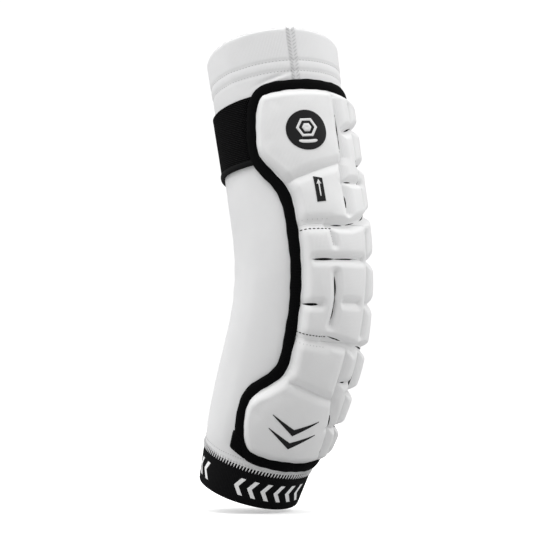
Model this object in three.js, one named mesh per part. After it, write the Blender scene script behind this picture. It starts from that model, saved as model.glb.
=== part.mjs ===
// Elbow pad for a left arm: a long knit sleeve with a segmented foam guard along its back,
// a closing strap at the upper arm and an elastic cuff at the forearm.
// Millimetres. +Z runs up the upper arm, +X points out of the elbow tip, -Y is the outer
// side of the arm. The origin is the elbow's pivot, in the middle of the sleeve.
//
// Every place on the sleeve is given by two numbers: "turn", the angle in degrees from the
// elbow tip towards the outer side, and "along", the distance in millimetres down the
// centre line of the arm from the elbow (negative on the upper arm).
import * as THREE from 'three';

// ---------------------------------------------------------------- driving dimensions
const upperLean = 11; // degrees the upper arm tips forward
const forearmLean = 21.5; // degrees the forearm tips forward
const bendHalf = 46; // half the length of centre line that is curved

const rimAlong = -172.5; // mean height of the top rim
const rimRise = 5; // the rim stands higher on the outer side
const rimRiseTurn = 48;
const hemRow = -150.5; // lower edge of the folded top hem
const elbowPanelEnd = 50; // the stretch panel over the elbow runs this far both ways
const cuffTop = 130;
const cuffEnd = 155.5;

const knitThickness = 0.9;
const hemThickness = 1.7;
const seamGap = 0.35; // clearance between neighbouring pieces
const layerGap = 0.5; // clearance between the sleeve, the backing and the foam

// Outside radius of the sleeve down the arm: [along, radius].
const sleeveProfile = [
  [-180, 48.6], [-110, 46.4], [-55, 46], [0, 45.2], [55, 44.6], [110, 42.2], [130, 39.8], [156, 36.9],
];
// Height of the foam blocks above the sleeve: [along, height].
const crownProfile = [[-130, 9], [-70, 10.2], [-30, 12.2], [0, 13], [40, 12.6], [80, 11], [116, 9]];

// Guard outline: turn of the outer and the inner edge of the white face: [along, turn].
const outerEdge = [
  [-130, 55], [-127, 61], [-116, 65.5], [-94, 69], [-85, 67.5], [-75, 59], [-64, 49.5], [-52, 44.5],
  [-34, 43.5], [-12, 41], [8, 40.2], [33, 40.2], [50, 39.5], [60.5, 47], [74, 64], [85, 66.5],
  [101, 64], [112, 58], [115.8, 49],
];
const innerEdge = [[-130, -28], [-127, -36], [-119, -42], [104, -42], [112, -39], [115.8, -31]];
const guardTop = outerEdge[0][0];
const guardBottom = outerEdge[outerEdge.length - 1][0];
const upperHinge = [-37.5, -30.5]; // the two lines across the guard where it folds
const lowerHinge = [25, 32];

const backingBottom = layerGap; // heights above the sleeve
const backingTop = 2.3;
const blockBottom = backingTop + layerGap;
const bindingWidth = 8;
const bindingTop = 2.9;

const strapTop = -130.5;
const strapBottom = -81.5;
const strapThickness = 1.8;
const strapFold = 225; // where the free end of the strap starts to peel
const anchorStart = 265;
const strapTip = 300;
const hookThickness = 1;

const badgeRadius = 14.6;
const printThickness = 0.7;

// ---------------------------------------------------------------- arm line and surface
const radians = THREE.MathUtils.degToRad;
const bendRadius = (2 * bendHalf) / radians(upperLean + forearmLean);
const middleLean = radians(upperLean - forearmLean) / 2;

// Smooth curve through knots [position, value], level beyond both ends.
function profile(knots, at) {
  const last = knots.length - 1;
  if (at <= knots[0][0]) return knots[0][1];
  if (at >= knots[last][0]) return knots[last][1];
  const i = knots.findIndex((knot) => knot[0] > at) - 1;
  const slope = (a, b) => (knots[b][1] - knots[a][1]) / (knots[b][0] - knots[a][0]);
  const span = knots[i + 1][0] - knots[i][0];
  const startSlope = i > 0 ? (slope(i - 1, i) + slope(i, i + 1)) / 2 : slope(i, i + 1);
  const endSlope = i + 1 < last ? (slope(i, i + 1) + slope(i + 1, i + 2)) / 2 : slope(i, i + 1);
  const t = (at - knots[i][0]) / span;
  return (
    (2 * t ** 3 - 3 * t ** 2 + 1) * knots[i][1] +
    (t ** 3 - 2 * t ** 2 + t) * span * startSlope +
    (3 * t ** 2 - 2 * t ** 3) * knots[i + 1][1] +
    (t ** 3 - t ** 2) * span * endSlope
  );
}

// Straight lines through knots [position, value].
function ramp(knots, at) {
  const last = knots.length - 1;
  if (at <= knots[0][0]) return knots[0][1];
  if (at >= knots[last][0]) return knots[last][1];
  const i = knots.findIndex((knot) => knot[0] > at) - 1;
  return THREE.MathUtils.mapLinear(at, knots[i][0], knots[i + 1][0], knots[i][1], knots[i + 1][1]);
}

const sleeveRadius = (along) => profile(sleeveProfile, along);
const crownHeight = (along) => profile(crownProfile, along);

function leanAt(along) {
  return middleLean - THREE.MathUtils.clamp(along, -bendHalf, bendHalf) / bendRadius;
}

// The point of the arm's centre line at a given distance from the elbow.
function centreAt(along) {
  const curved = THREE.MathUtils.clamp(along, -bendHalf, bendHalf);
  const lean = leanAt(along);
  const rest = along - curved;
  const x = bendRadius * (Math.cos(lean) - Math.cos(middleLean)) + rest * Math.sin(lean);
  const z = bendRadius * (Math.sin(lean) - Math.sin(middleLean)) - rest * Math.cos(lean);
  return new THREE.Vector3(x, 0, z);
}

// The point at a turn and a distance along, some height above the sleeve's outside.
function place(turn, along, height) {
  const lean = leanAt(along);
  const radius = sleeveRadius(along) + height;
  const outward = Math.cos(radians(turn)) * radius;
  const side = Math.sin(radians(turn)) * radius;
  const offset = new THREE.Vector3(outward * Math.cos(lean), -side, outward * Math.sin(lean));
  return centreAt(along).add(offset);
}

// ---------------------------------------------------------------- closed solids
// Makes a geometry of quads and triangles and turns it right side out.
function closedGeometry(points, faces) {
  const index = [];
  for (const face of faces) {
    index.push(face[0], face[1], face[2]);
    if (face.length === 4) index.push(face[0], face[2], face[3]);
  }
  let volume = 0;
  for (let i = 0; i < index.length; i += 3) {
    const [a, b, c] = [points[index[i]], points[index[i + 1]], points[index[i + 2]]];
    volume += a.dot(b.clone().cross(c));
  }
  if (volume < 0) index.reverse();
  const geometry = new THREE.BufferGeometry().setFromPoints(points);
  geometry.setIndex(index);
  geometry.computeVertexNormals();
  return geometry;
}

// A tube wall: rings of points, each joined to the next and the last to the first.
function ringSolid(rings) {
  const count = rings[0].length;
  const faces = [];
  rings.forEach((ring, r) => {
    const next = (r + 1) % rings.length;
    for (let i = 0; i < count; i += 1) {
      const j = (i + 1) % count;
      faces.push([r * count + i, r * count + j, next * count + j, next * count + i]);
    }
  });
  return closedGeometry(rings.flat(), faces);
}

// A curved slab between two grids of points of the same size.
function gridSolid(top, bottom) {
  const rows = top.length;
  const columns = top[0].length;
  const size = rows * columns;
  const faces = [];
  for (let r = 0; r + 1 < rows; r += 1) {
    for (let c = 0; c + 1 < columns; c += 1) {
      const a = r * columns + c;
      faces.push([a, a + 1, a + columns + 1, a + columns]);
      faces.push([size + a, size + a + columns, size + a + columns + 1, size + a + 1]);
    }
  }
  const border = [];
  for (let c = 0; c < columns; c += 1) border.push(c);
  for (let r = 1; r < rows; r += 1) border.push(r * columns + columns - 1);
  for (let c = columns - 2; c >= 0; c -= 1) border.push((rows - 1) * columns + c);
  for (let r = rows - 2; r > 0; r -= 1) border.push(r * columns);
  border.forEach((a, i) => {
    const b = border[(i + 1) % border.length];
    faces.push([b, a, size + a, size + b]);
  });
  return closedGeometry([...top.flat(), ...bottom.flat()], faces);
}

const spread = (from, to, steps) =>
  Array.from({ length: steps + 1 }, (_, i) => from + ((to - from) * i) / steps);

// A length of tube around the arm, between two edges that may vary with the turn.
function sleeveTube(topEdge, bottomEdge, steps, outerHeight, thickness) {
  const sides = 36;
  const turns = spread(0, 360, sides).slice(0, sides);
  const levels = spread(0, 1, steps);
  const alongAt = (turn, level) => THREE.MathUtils.lerp(topEdge(turn), bottomEdge(turn), level);
  const ring = (level, height) => turns.map((turn) => place(turn, alongAt(turn, level), height));
  const outside = levels.map((level) => ring(level, outerHeight));
  const inside = levels.map((level) => ring(level, outerHeight - thickness)).reverse();
  return ringSolid([...outside, ...inside]);
}

// A patch of wrap lying on the arm: a band from one turn to another.
function wrapPatch(fromTurn, toTurn, fromAlong, toAlong, bottom, top) {
  const columns = spread(fromTurn, toTurn, Math.ceil(Math.abs(toTurn - fromTurn) / 8));
  const rows = spread(fromAlong, toAlong, 3);
  const grid = (height) =>
    rows.map((along) => columns.map((turn) => place(turn, along, height(turn))));
  return gridSolid(grid(top), grid(bottom));
}

// The guard's backing between two distances along the arm, inside the guard outline.
function backingPatch(fromAlong, toAlong, rows) {
  const inset = 3;
  const grid = (height) =>
    rows(fromAlong, toAlong).map((along) =>
      spread(ramp(innerEdge, along) + inset, ramp(outerEdge, along) - inset, 14).map((turn) =>
        place(turn, along, height),
      ),
    );
  return gridSolid(grid(backingTop), grid(backingBottom));
}

// A foam block: a rounded mound on a polygon of [turn, along] corners.
function foamBlock(corners, heightScale = 1) {
  const rounded = roundedOutline(corners, 0.22);
  const centre = averageOf(rounded);
  const outline = withShortSteps([...rounded, rounded[0]], 9, 18).slice(0, -1);
  const widest = Math.max(...outline.map(([turn]) => Math.abs(turn - centre[0])));
  const shares = widest > 18 ? [0.3, 0.52, 0.76] : [0.5];
  const steps = [
    ...shares.toReversed().map((share) => ({ share, height: 0 })),
    { inset: 0, height: 0 },
    { inset: 0, height: 0.18 },
    { inset: 1.1, height: 0.7 },
    { inset: 3.4, height: 1 },
    ...shares.map((share) => ({ share, height: 1 })),
  ];
  const crown = (along) => crownHeight(along) * heightScale;
  const heightOf = (along, rise) => blockBottom + rise * (crown(along) - blockBottom);
  return mound(outline, centre, steps, heightOf);
}

// Closed rings drawn in from an outline towards its centre, capped at both ends.
function mound(outline, centre, steps, heightOf) {
  const count = outline.length;
  const points = [];
  for (const step of steps) {
    for (const [turn, along] of outline) {
      const reach = Math.hypot(radians(turn - centre[0]) * sleeveRadius(along), along - centre[1]);
      const share = step.share ?? step.inset / reach;
      const turnAt = THREE.MathUtils.lerp(turn, centre[0], share);
      const alongAt = THREE.MathUtils.lerp(along, centre[1], share);
      points.push(place(turnAt, alongAt, heightOf(alongAt, step.height)));
    }
  }
  const faces = [];
  for (let r = 0; r + 1 < steps.length; r += 1) {
    for (let i = 0; i < count; i += 1) {
      const j = (i + 1) % count;
      faces.push([r * count + i, r * count + j, (r + 1) * count + j, (r + 1) * count + i]);
    }
  }
  const capPoint = (step) => place(centre[0], centre[1], heightOf(centre[1], step.height));
  const firstCap = points.push(capPoint(steps[0])) - 1;
  const lastCap = points.push(capPoint(steps[steps.length - 1])) - 1;
  const lastRing = (steps.length - 1) * count;
  for (let i = 0; i < count; i += 1) {
    const j = (i + 1) % count;
    faces.push([firstCap, j, i]);
    faces.push([lastCap, lastRing + i, lastRing + j]);
  }
  return closedGeometry(points, faces);
}

function averageOf(outline) {
  const sum = outline.reduce((total, point) => [total[0] + point[0], total[1] + point[1]], [0, 0]);
  return [sum[0] / outline.length, sum[1] / outline.length];
}

// Replaces each corner by a short curve that starts and ends part of the way along its sides.
function roundedOutline(corners, share) {
  const outline = [];
  corners.forEach((corner, i) => {
    const before = corners[(i + corners.length - 1) % corners.length];
    const after = corners[(i + 1) % corners.length];
    const curve = new THREE.QuadraticBezierCurve(
      new THREE.Vector2(...corner).lerp(new THREE.Vector2(...before), share),
      new THREE.Vector2(...corner),
      new THREE.Vector2(...corner).lerp(new THREE.Vector2(...after), share),
    );
    for (const point of curve.getPoints(2)) outline.push([point.x, point.y]);
  });
  return outline;
}

const rectangle = (turnA, turnB, alongA, alongB) => [
  [turnA, alongA], [turnB, alongA], [turnB, alongB], [turnA, alongB],
];

// Adds points to a path of [turn, along] so that every step follows the arm's curve closely.
function withShortSteps(path, longestTurn = 6, longestRun = 12) {
  const finer = [path[0]];
  for (let i = 1; i < path.length; i += 1) {
    const turns = Math.abs(path[i][0] - path[i - 1][0]) / longestTurn;
    const runs = Math.abs(path[i][1] - path[i - 1][1]) / longestRun;
    const pieces = Math.ceil(Math.max(turns, runs)) || 1;
    for (let k = 1; k <= pieces; k += 1) {
      const blend = (axis) => THREE.MathUtils.lerp(path[i - 1][axis], path[i][axis], k / pieces);
      finer.push([blend(0), blend(1)]);
    }
  }
  return finer;
}

// A binding tape laid along a path of [turn, along] points, bulging between its edges.
function bindingTape(route, width, bottom, top) {
  const section = [-1, -0.6, 0.6, 1];
  const bulge = [0.55, 1, 1, 0.55];
  const path = withShortSteps(route);
  const rows = path.map((point, i) => {
    const before = path[Math.max(i - 1, 0)];
    const after = path[Math.min(i + 1, path.length - 1)];
    const perDegree = radians(1) * sleeveRadius(point[1]);
    const run = new THREE.Vector2((after[0] - before[0]) * perDegree, after[1] - before[1]).normalize();
    return section.map((side) => [
      point[0] + (side * run.y * width) / 2 / perDegree,
      point[1] - (side * run.x * width) / 2,
    ]);
  });
  const grid = (heightAt) =>
    rows.map((row) => row.map(([turn, along], i) => place(turn, along, heightAt(i))));
  return gridSolid(grid((i) => bottom + (top - bottom) * bulge[i]), grid(() => bottom));
}

// The guard outline moved outwards by half a binding, as a path for the tape.
function bindingPath(edge, side, fromAlong, toAlong) {
  const reach = bindingWidth / 2 + seamGap;
  const knots = edge.filter(([along]) => along > fromAlong && along < toAlong).map(([along]) => along);
  const stations = [fromAlong, ...knots, toAlong];
  return stations.map((along) => {
    const turn = ramp(edge, along);
    const perDegree = radians(1) * sleeveRadius(along);
    const step = 2;
    const rise = (ramp(edge, along + step) - ramp(edge, along - step)) * perDegree;
    const normal = new THREE.Vector2(2 * step, -rise).normalize();
    return [turn + (side * reach * normal.x) / perDegree, along + side * reach * normal.y];
  });
}

// ---------------------------------------------------------------- materials
const finish = (color, roughness, metalness = 0) => () =>
  new THREE.MeshStandardMaterial({ color, roughness, metalness });
const whiteKnit = finish(0xeceded, 0.85);
const whiteCover = finish(0xf2f2f1, 0.6);
const whiteFoam = finish(0xf5f5f3, 0.55);
const blackTape = finish(0x0b0b0c, 0.8);
const blackElastic = finish(0x0e0e0f, 0.9);
const darkPrint = finish(0x1c1c1e, 0.5);
const clearGrip = finish(0xd8dadb, 0.35);

const guard = new THREE.Group();
function addPiece(parent, name, geometry, material) {
  const mesh = new THREE.Mesh(geometry, material());
  mesh.name = name;
  parent.add(mesh);
}

const upperArm = new THREE.Group();
const elbowCap = new THREE.Group();
const forearm = new THREE.Group();
const strapEnd = new THREE.Group();
guard.add(upperArm, elbowCap, forearm, strapEnd);

// ---------------------------------------------------------------- sleeve
const level = (along) => () => along;
const rimEdge = (turn) => rimAlong - rimRise * Math.cos(radians(turn - rimRiseTurn));
const halfGap = seamGap / 2;
const hemGripTop = hemRow - 16;
const hemGripBottom = hemRow - 6;

addPiece(upperArm, 'top_hem', sleeveTube(rimEdge, level(hemRow - halfGap), 3, 0, hemThickness), whiteKnit);
addPiece(
  upperArm,
  'hem_gripper_band',
  sleeveTube(level(hemGripTop), level(hemGripBottom), 1, -hemThickness - seamGap, 0.8),
  clearGrip,
);
addPiece(
  upperArm,
  'upper_sleeve',
  sleeveTube(level(hemRow + halfGap), level(-elbowPanelEnd - halfGap), 6, 0, knitThickness),
  whiteKnit,
);
addPiece(
  elbowCap,
  'elbow_sleeve',
  sleeveTube(level(-elbowPanelEnd + halfGap), level(elbowPanelEnd - halfGap), 8, 0, knitThickness),
  whiteKnit,
);
addPiece(
  forearm,
  'forearm_sleeve',
  sleeveTube(level(elbowPanelEnd + halfGap), level(cuffTop - halfGap), 5, 0, knitThickness),
  whiteKnit,
);
addPiece(
  forearm,
  'cuff_elastic',
  sleeveTube(level(cuffTop + halfGap), level(cuffEnd), 2, 0.4, hemThickness),
  blackElastic,
);

// ---------------------------------------------------------------- guard backing and binding
// Rows for a patch: its two ends and the knots between them.
const knotRows = (knots) => (fromAlong, toAlong) => [
  fromAlong,
  ...knots.filter((along) => along > fromAlong + 1 && along < toAlong - 1),
  toAlong,
];
const topRows = knotRows([-127, -119, -108, -94, -85, -81.5, -78, -74.5, -71, -67.5, -64, -56, -47]);
const elbowRows = knotRows([-18, -6, 6, 16]);
const bottomRows = knotRows([42, 50, 55, 60, 63.5, 67, 70.5, 74, 85, 95, 104, 112]);

addPiece(upperArm, 'backing_upper', backingPatch(guardTop + 1.8, upperHinge[0], topRows), whiteCover);
addPiece(elbowCap, 'backing_elbow', backingPatch(upperHinge[1], lowerHinge[0], elbowRows), whiteCover);
addPiece(
  forearm,
  'backing_forearm',
  backingPatch(lowerHinge[1], guardBottom - 1.8, bottomRows),
  whiteCover,
);

// The fold lines are thin stretch strips that cross the whole guard, binding included.
const hingeReach = 10;
function hingeStrip([fromAlong, toAlong]) {
  const from = ramp(innerEdge, fromAlong) - hingeReach;
  const to = ramp(outerEdge, fromAlong) + hingeReach;
  const [bottom, top] = [() => backingBottom, () => backingTop - 1];
  return wrapPatch(from, to, fromAlong + seamGap, toAlong - seamGap, bottom, top);
}
addPiece(elbowCap, 'fold_strip_upper', hingeStrip(upperHinge), whiteCover);
addPiece(elbowCap, 'fold_strip_lower', hingeStrip(lowerHinge), whiteCover);

const outerUpperPath = bindingPath(outerEdge, 1, guardTop + 3, upperHinge[0]);
const innerUpperPath = bindingPath(innerEdge, -1, guardTop + 3, upperHinge[0]);
const outerLowerPath = bindingPath(outerEdge, 1, lowerHinge[1], guardBottom - 3.8);
const innerLowerPath = bindingPath(innerEdge, -1, lowerHinge[1], guardBottom - 3.8);
const bindingReach = bindingWidth / 2 + seamGap;
const topCrossing = spread(50, -24, 9).map((turn) => [turn, guardTop - bindingReach]);
const bottomCrossing = spread(44, -27, 9).map((turn) => [turn, guardBottom + bindingReach]);

addPiece(
  upperArm,
  'binding_upper',
  bindingTape(
    [...outerUpperPath.reverse(), ...topCrossing, [-33, guardTop - 3.6], ...innerUpperPath],
    bindingWidth,
    backingBottom,
    bindingTop,
  ),
  blackTape,
);
const elbowSpan = [upperHinge[1], lowerHinge[0]];
addPiece(
  elbowCap,
  'binding_elbow_outer',
  bindingTape(bindingPath(outerEdge, 1, ...elbowSpan), bindingWidth, backingBottom, bindingTop),
  blackTape,
);
addPiece(
  elbowCap,
  'binding_elbow_inner',
  bindingTape(
    spread(...elbowSpan, 6).map((along) => [
      innerEdge[2][1] - bindingReach / (radians(1) * sleeveRadius(along)),
      along,
    ]),
    bindingWidth,
    backingBottom,
    bindingTop,
  ),
  blackTape,
);
addPiece(
  forearm,
  'binding_forearm',
  bindingTape(
    [...outerLowerPath, ...bottomCrossing, ...innerLowerPath.reverse()],
    bindingWidth,
    backingBottom,
    bindingTop,
  ),
  blackTape,
);
// The two ends of the tape overlap near the lower outer corner under a short folded tab.
addPiece(
  forearm,
  'binding_end_tab',
  wrapPatch(74.6, 77.8, 104, 114, () => backingBottom, () => bindingTop - 0.4),
  blackTape,
);

// ---------------------------------------------------------------- foam blocks
const outerColumn = [18, 38.6];
const ridgeColumn = [-13, 15.2];
const innerColumn = [-40, -16];
const upperRidge = [-18, -2.5];
const upperInner = [-40.3, -20.2];

const upperBlocks = {
  wing_block_upper: [
    [52, -128], [60, -122], [66, -95], [64.5, -86], [49, -69], [44, -65.5], [5, -76.5], [0.5, -80],
    [-0.5, -120], [5, -128],
  ],
  label_block: [[40.5, -62.6], [4.5, -73], [4.2, -40.5], [41.8, -40.5]],
  ridge_block_1: rectangle(...upperRidge, -127.5, -104),
  ridge_block_2: rectangle(...upperRidge, -101, -64.5),
  ridge_block_3: rectangle(-16, 2, -61, -40.5),
  inner_block_1: [[-29, -127.5], [-20.2, -128], [-20.2, -107.5], [-40.3, -109.5], [-40, -119]],
  inner_block_2: [[-40.3, -107], [-20.2, -104.5], [-20.2, -78.5], [-40.3, -80.5]],
  inner_block_3: [[-40.3, -78], [-20.2, -75.5], [-18.2, -40.5], [-40.3, -40.5]],
};
for (const [name, corners] of Object.entries(upperBlocks)) {
  addPiece(upperArm, name, foamBlock(corners), whiteFoam);
}

const ridgeScale = 1.06; // the blocks over the elbow tip stand a little higher
const elbowRowEdges = [[-28.5, -16.8], [-14, 6.2], [9.4, 23]];
elbowRowEdges.forEach(([from, to], row) => {
  addPiece(elbowCap, `outer_block_${row + 1}`, foamBlock(rectangle(...outerColumn, from, to)), whiteFoam);
  const ridgeOutline = rectangle(...ridgeColumn, from, to);
  addPiece(elbowCap, `ridge_block_${row + 4}`, foamBlock(ridgeOutline, ridgeScale), whiteFoam);
  addPiece(elbowCap, `inner_block_${row + 4}`, foamBlock(rectangle(...innerColumn, from, to)), whiteFoam);
});

const forearmBlocks = {
  tall_block: [[38.4, 34], [0.5, 34], [-1.5, 63], [31, 55.5], [38, 51]],
  wing_block_lower: [
    [61, 75.5], [64, 85], [61.5, 101], [56, 110.5], [46, 113.5], [-12.5, 113.8], [-4.5, 72], [-1.5, 66.5],
    [34, 58.8], [46, 63],
  ],
  ridge_block_7: [[-3, 34], [-16.5, 34], [-17.5, 50], [-4.5, 50]],
  ridge_block_8: [[-4.8, 53], [-17.8, 53], [-20, 85.5], [-9.5, 85.5]],
  ridge_block_9: [[-10.6, 88.5], [-24, 88.5], [-27, 112.5], [-14.6, 112.5]],
  inner_block_7: [[-19, 34], [-40.2, 34], [-40.2, 60.5], [-20.2, 57.5]],
  inner_block_8: [[-20.5, 60.5], [-40.2, 63.5], [-40.2, 88.5], [-22.5, 85]],
  inner_block_9: [[-26.2, 88.5], [-40.2, 91.5], [-40, 104], [-36, 112], [-29, 112.8]],
};
for (const [name, corners] of Object.entries(forearmBlocks)) {
  addPiece(forearm, name, foamBlock(corners), whiteFoam);
}

// ---------------------------------------------------------------- flat trim on the blocks
// A thin plate that follows the crown of the block below it.
const printHeight = (along, rise) => crownHeight(along) + seamGap + rise * printThickness;
const printSteps = [
  { share: 0.5, height: 0 },
  { inset: 0, height: 0 },
  { inset: 0, height: 1 },
  { share: 0.5, height: 1 },
];
const printPlate = (outline) => mound(outline, averageOf(outline), printSteps, printHeight);

const badgeCentre = [28.5, -98];
const badgeOutline = spread(0, 360, 24)
  .slice(0, 24)
  .map((angle) => {
    const perDegree = radians(1) * (sleeveRadius(badgeCentre[1]) + crownHeight(badgeCentre[1]));
    return [
      badgeCentre[0] + (badgeRadius * Math.cos(radians(angle))) / perDegree,
      badgeCentre[1] + badgeRadius * Math.sin(radians(angle)),
    ];
  });
addPiece(upperArm, 'badge_disc', printPlate(badgeOutline), darkPrint);
addPiece(
  upperArm,
  'side_label',
  printPlate([[28.8, -62.6], [22.2, -64.6], [22.2, -46.2], [28.8, -45.8]]),
  darkPrint,
);

// A flat V with pointed ends, lying across the lower wing block.
function chevron(apexAlong) {
  const arm = [18.5, 10.5];
  const apexTurn = 24.5;
  const [tipHalf, apexHalf] = [0.25, 2.3];
  const stations = spread(-1, 1, 6);
  const grid = (rise) =>
    stations.map((t) => {
      const middle = apexAlong - Math.abs(t) * arm[1];
      const half = THREE.MathUtils.lerp(apexHalf, tipHalf, Math.abs(t));
      return [-half, half].map((shift) =>
        place(apexTurn - t * arm[0], middle + shift, printHeight(middle, rise)),
      );
    });
  return gridSolid(grid(1), grid(0));
}
addPiece(forearm, 'chevron_upper', chevron(91), darkPrint);
addPiece(forearm, 'chevron_lower', chevron(101.5), darkPrint);

// ---------------------------------------------------------------- closing strap
const strapStart = 81.5;
const anchorEnd = 306.5;
const strapLow = () => seamGap;
const strapHigh = () => seamGap + strapThickness;
addPiece(
  upperArm,
  'strap_band',
  wrapPatch(strapStart, strapFold, strapTop, strapBottom, strapLow, strapHigh),
  blackElastic,
);
addPiece(
  upperArm,
  'strap_anchor',
  wrapPatch(anchorStart, anchorEnd, strapTop, strapBottom, strapLow, strapHigh),
  blackElastic,
);

// The free end climbs over the anchor and carries the hook patch on its underside.
const hookBottom = 2 * seamGap + strapThickness;
const hookTop = hookBottom + hookThickness;
const climb = [[anchorStart - 13, seamGap], [anchorStart - 3, hookTop + seamGap]];
addPiece(
  strapEnd,
  'strap_free_end',
  wrapPatch(
    strapFold + 0.6,
    strapTip,
    strapTop,
    strapBottom,
    (turn) => ramp(climb, turn),
    (turn) => ramp(climb, turn) + strapThickness,
  ),
  blackElastic,
);
addPiece(
  strapEnd,
  'strap_hook_patch',
  wrapPatch(
    anchorStart + 7,
    strapTip - 1.5,
    strapTop + 2,
    strapBottom - 2,
    () => hookBottom,
    () => hookTop,
  ),
  blackTape,
);

export default guard;
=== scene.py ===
"""Elbow pad for a left arm: a knit sleeve, a segmented foam guard in a stretch cover, a black
binding, a hook-and-loop strap and an elastic cuff.

Places on the arm are a turn (degrees from the elbow tip towards the outer side) and a distance
along the centre line from the elbow (millimetres, negative on the upper arm). Heights are
millimetres above the outside of the sleeve. place() turns the three into metres.
"""

import math

import bpy
import numpy as np
from mathutils import Matrix, Vector


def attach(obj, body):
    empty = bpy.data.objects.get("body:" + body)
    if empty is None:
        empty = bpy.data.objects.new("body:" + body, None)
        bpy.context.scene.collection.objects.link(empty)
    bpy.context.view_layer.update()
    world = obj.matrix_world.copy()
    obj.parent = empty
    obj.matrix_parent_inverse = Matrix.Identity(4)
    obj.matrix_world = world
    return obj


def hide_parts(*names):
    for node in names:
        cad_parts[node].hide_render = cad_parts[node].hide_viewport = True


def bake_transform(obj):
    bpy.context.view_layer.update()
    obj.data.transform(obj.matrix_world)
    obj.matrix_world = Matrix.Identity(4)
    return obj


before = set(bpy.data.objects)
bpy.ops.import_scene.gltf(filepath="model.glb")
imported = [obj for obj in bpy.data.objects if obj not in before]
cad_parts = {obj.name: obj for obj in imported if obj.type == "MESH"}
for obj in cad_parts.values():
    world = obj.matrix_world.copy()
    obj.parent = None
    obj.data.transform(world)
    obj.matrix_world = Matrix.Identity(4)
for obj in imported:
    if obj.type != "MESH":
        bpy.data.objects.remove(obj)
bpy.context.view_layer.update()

# ---- driving dimensions
UPPER_LEAN = math.radians(11)
FOREARM_LEAN = math.radians(21.5)
BEND_HALF = 46
BEND_RADIUS = 2 * BEND_HALF / (UPPER_LEAN + FOREARM_LEAN)
MIDDLE_LEAN = (UPPER_LEAN - FOREARM_LEAN) / 2
SLEEVE_PROFILE = [
    (-180, 48.6), (-110, 46.4), (-55, 46), (0, 45.2), (55, 44.6), (110, 42.2), (130, 39.8), (156, 36.9),
]
CROWN_PROFILE = [(-130, 9), (-70, 10.2), (-30, 12.2), (0, 13), (40, 12.6), (80, 11), (116, 9)]
OUTER_EDGE = [
    (-130, 55), (-127, 61), (-116, 65.5), (-94, 69), (-85, 67.5), (-75, 59), (-64, 49.5), (-52, 44.5),
    (-34, 43.5), (-12, 41), (8, 40.2), (33, 40.2), (50, 39.5), (60.5, 47), (74, 64), (85, 66.5),
    (101, 64), (112, 58), (115.8, 49),
]
INNER_EDGE = [(-130, -28), (-127, -36), (-119, -42), (104, -42), (112, -39), (115.8, -31)]
GUARD_TOP = OUTER_EDGE[0][0]
GUARD_BOTTOM = OUTER_EDGE[-1][0]
UPPER_FOLD = -33.8  # where the guard's cover is joined across, above and below the elbow
LOWER_FOLD = 28.3
BACKING_HEIGHT = 2.4  # of the guard's cover where there is no foam under it
RIM_ALONG = -172.5
RIM_RISE = 5
RIM_RISE_TURN = 48
HEM_BASE = -156  # where the slanting rim has run out and every row is level
HEM_ROWS = (-153.2, -145.4)  # the two stitch rows of the top hem
GRIP_ALONG = -161.5
SLEEVE_END = 130.5
CUFF_TOP = 127.4
CUFF_END = 155.5
CUFF_WALL = 1.7
CUFF_BAND = (136.2, 149.2)  # the stretch of the cuff that has chevrons woven in
CHEVRON_GROUP = 74.0  # millimetres round the cuff for one group of six chevrons and its gap
CHEVRON_STARTS = range(4, 50, 9)
CHEVRON_WIDTH = 3.2
KNIT = 0.9
HEM = 1.7
TAPE_WIDTH = 8.2
TAPE_TOP = 3.5
TAPE_REACH = 2.6  # how far the cover runs on beneath the binding
TAPE_PER_DEGREE = 0.835  # millimetres of surface per degree of turn, at the binding
STRAP_TOP = -130.5
STRAP_BOTTOM = -81.5
STRAP_MIDDLE = (STRAP_TOP + STRAP_BOTTOM) / 2
STRAP_THICK = 1.8
STRAP_LAP = 3.85  # height of the free end's underside where it lies over the anchor
STRAP_FOLD = 225
STRAP_TIP = 300
STRAP_PER_DEGREE = 0.84
ANCHOR = (265, 306.5)
FLATLOCK_TURN = 27.5
BADGE = (28.4, -97.8)
BADGE_RADIUS = 14.6
EMBLEM_RISE = 1.6  # how far the hexagon stands above the middle of the badge
SIDE_LABEL = (25.4, -54.4)
LABEL_HALF = 8.9
CHEVRON_PRINTS = (("upper", 90.8), ("lower", 101.1))
CHEVRON_TURN = 24.8
PER_DEGREE = 0.87  # millimetres of surface per degree of turn, near enough over the guard

FRONT = (45, 0)  # azimuth and elevation that the studio's dimmer side faces
FRONT_LIGHT = 0.46
SIDE_LIGHT = 1.25
TOP_GAIN = 1.5
SEEN_WHITE = 1.05  # the studio's walls as the camera sees them
FLOOR_LEVEL = -0.1625
FLOOR_GLOW = 0.35  # the floor is seen as plain white
FLOOR_BOUNCE = 0.46  # but throws back little light, so that undersides stay in shade

CAMERA_AT = (45.28, -4.23)  # azimuth and elevation
CAMERA_DISTANCE = 1.1
CAMERA_SHIFT = (-0.0403, 0.0211)


# ---- the arm's surface
def profile(knots, at):
    """Smooth curve through knots (position, value), level beyond both ends."""
    x, y = np.array(knots, float).T
    slopes = np.diff(y) / np.diff(x)
    middle = (slopes[:-1] + slopes[1:]) / 2
    tangents = np.concatenate([slopes[:1], middle, slopes[-1:]])
    at = np.clip(np.asarray(at, float), x[0], x[-1])
    i = np.clip(np.searchsorted(x, at, side="right") - 1, 0, len(x) - 2)
    span = x[i + 1] - x[i]
    t = (at - x[i]) / span
    return (
        (2 * t**3 - 3 * t**2 + 1) * y[i]
        + (t**3 - 2 * t**2 + t) * span * tangents[i]
        + (3 * t**2 - 2 * t**3) * y[i + 1]
        + (t**3 - t**2) * span * tangents[i + 1]
    )


def ramp(knots, at):
    """Straight lines through knots (position, value)."""
    x, y = np.array(knots, float).T
    return np.interp(at, x, y)


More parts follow.
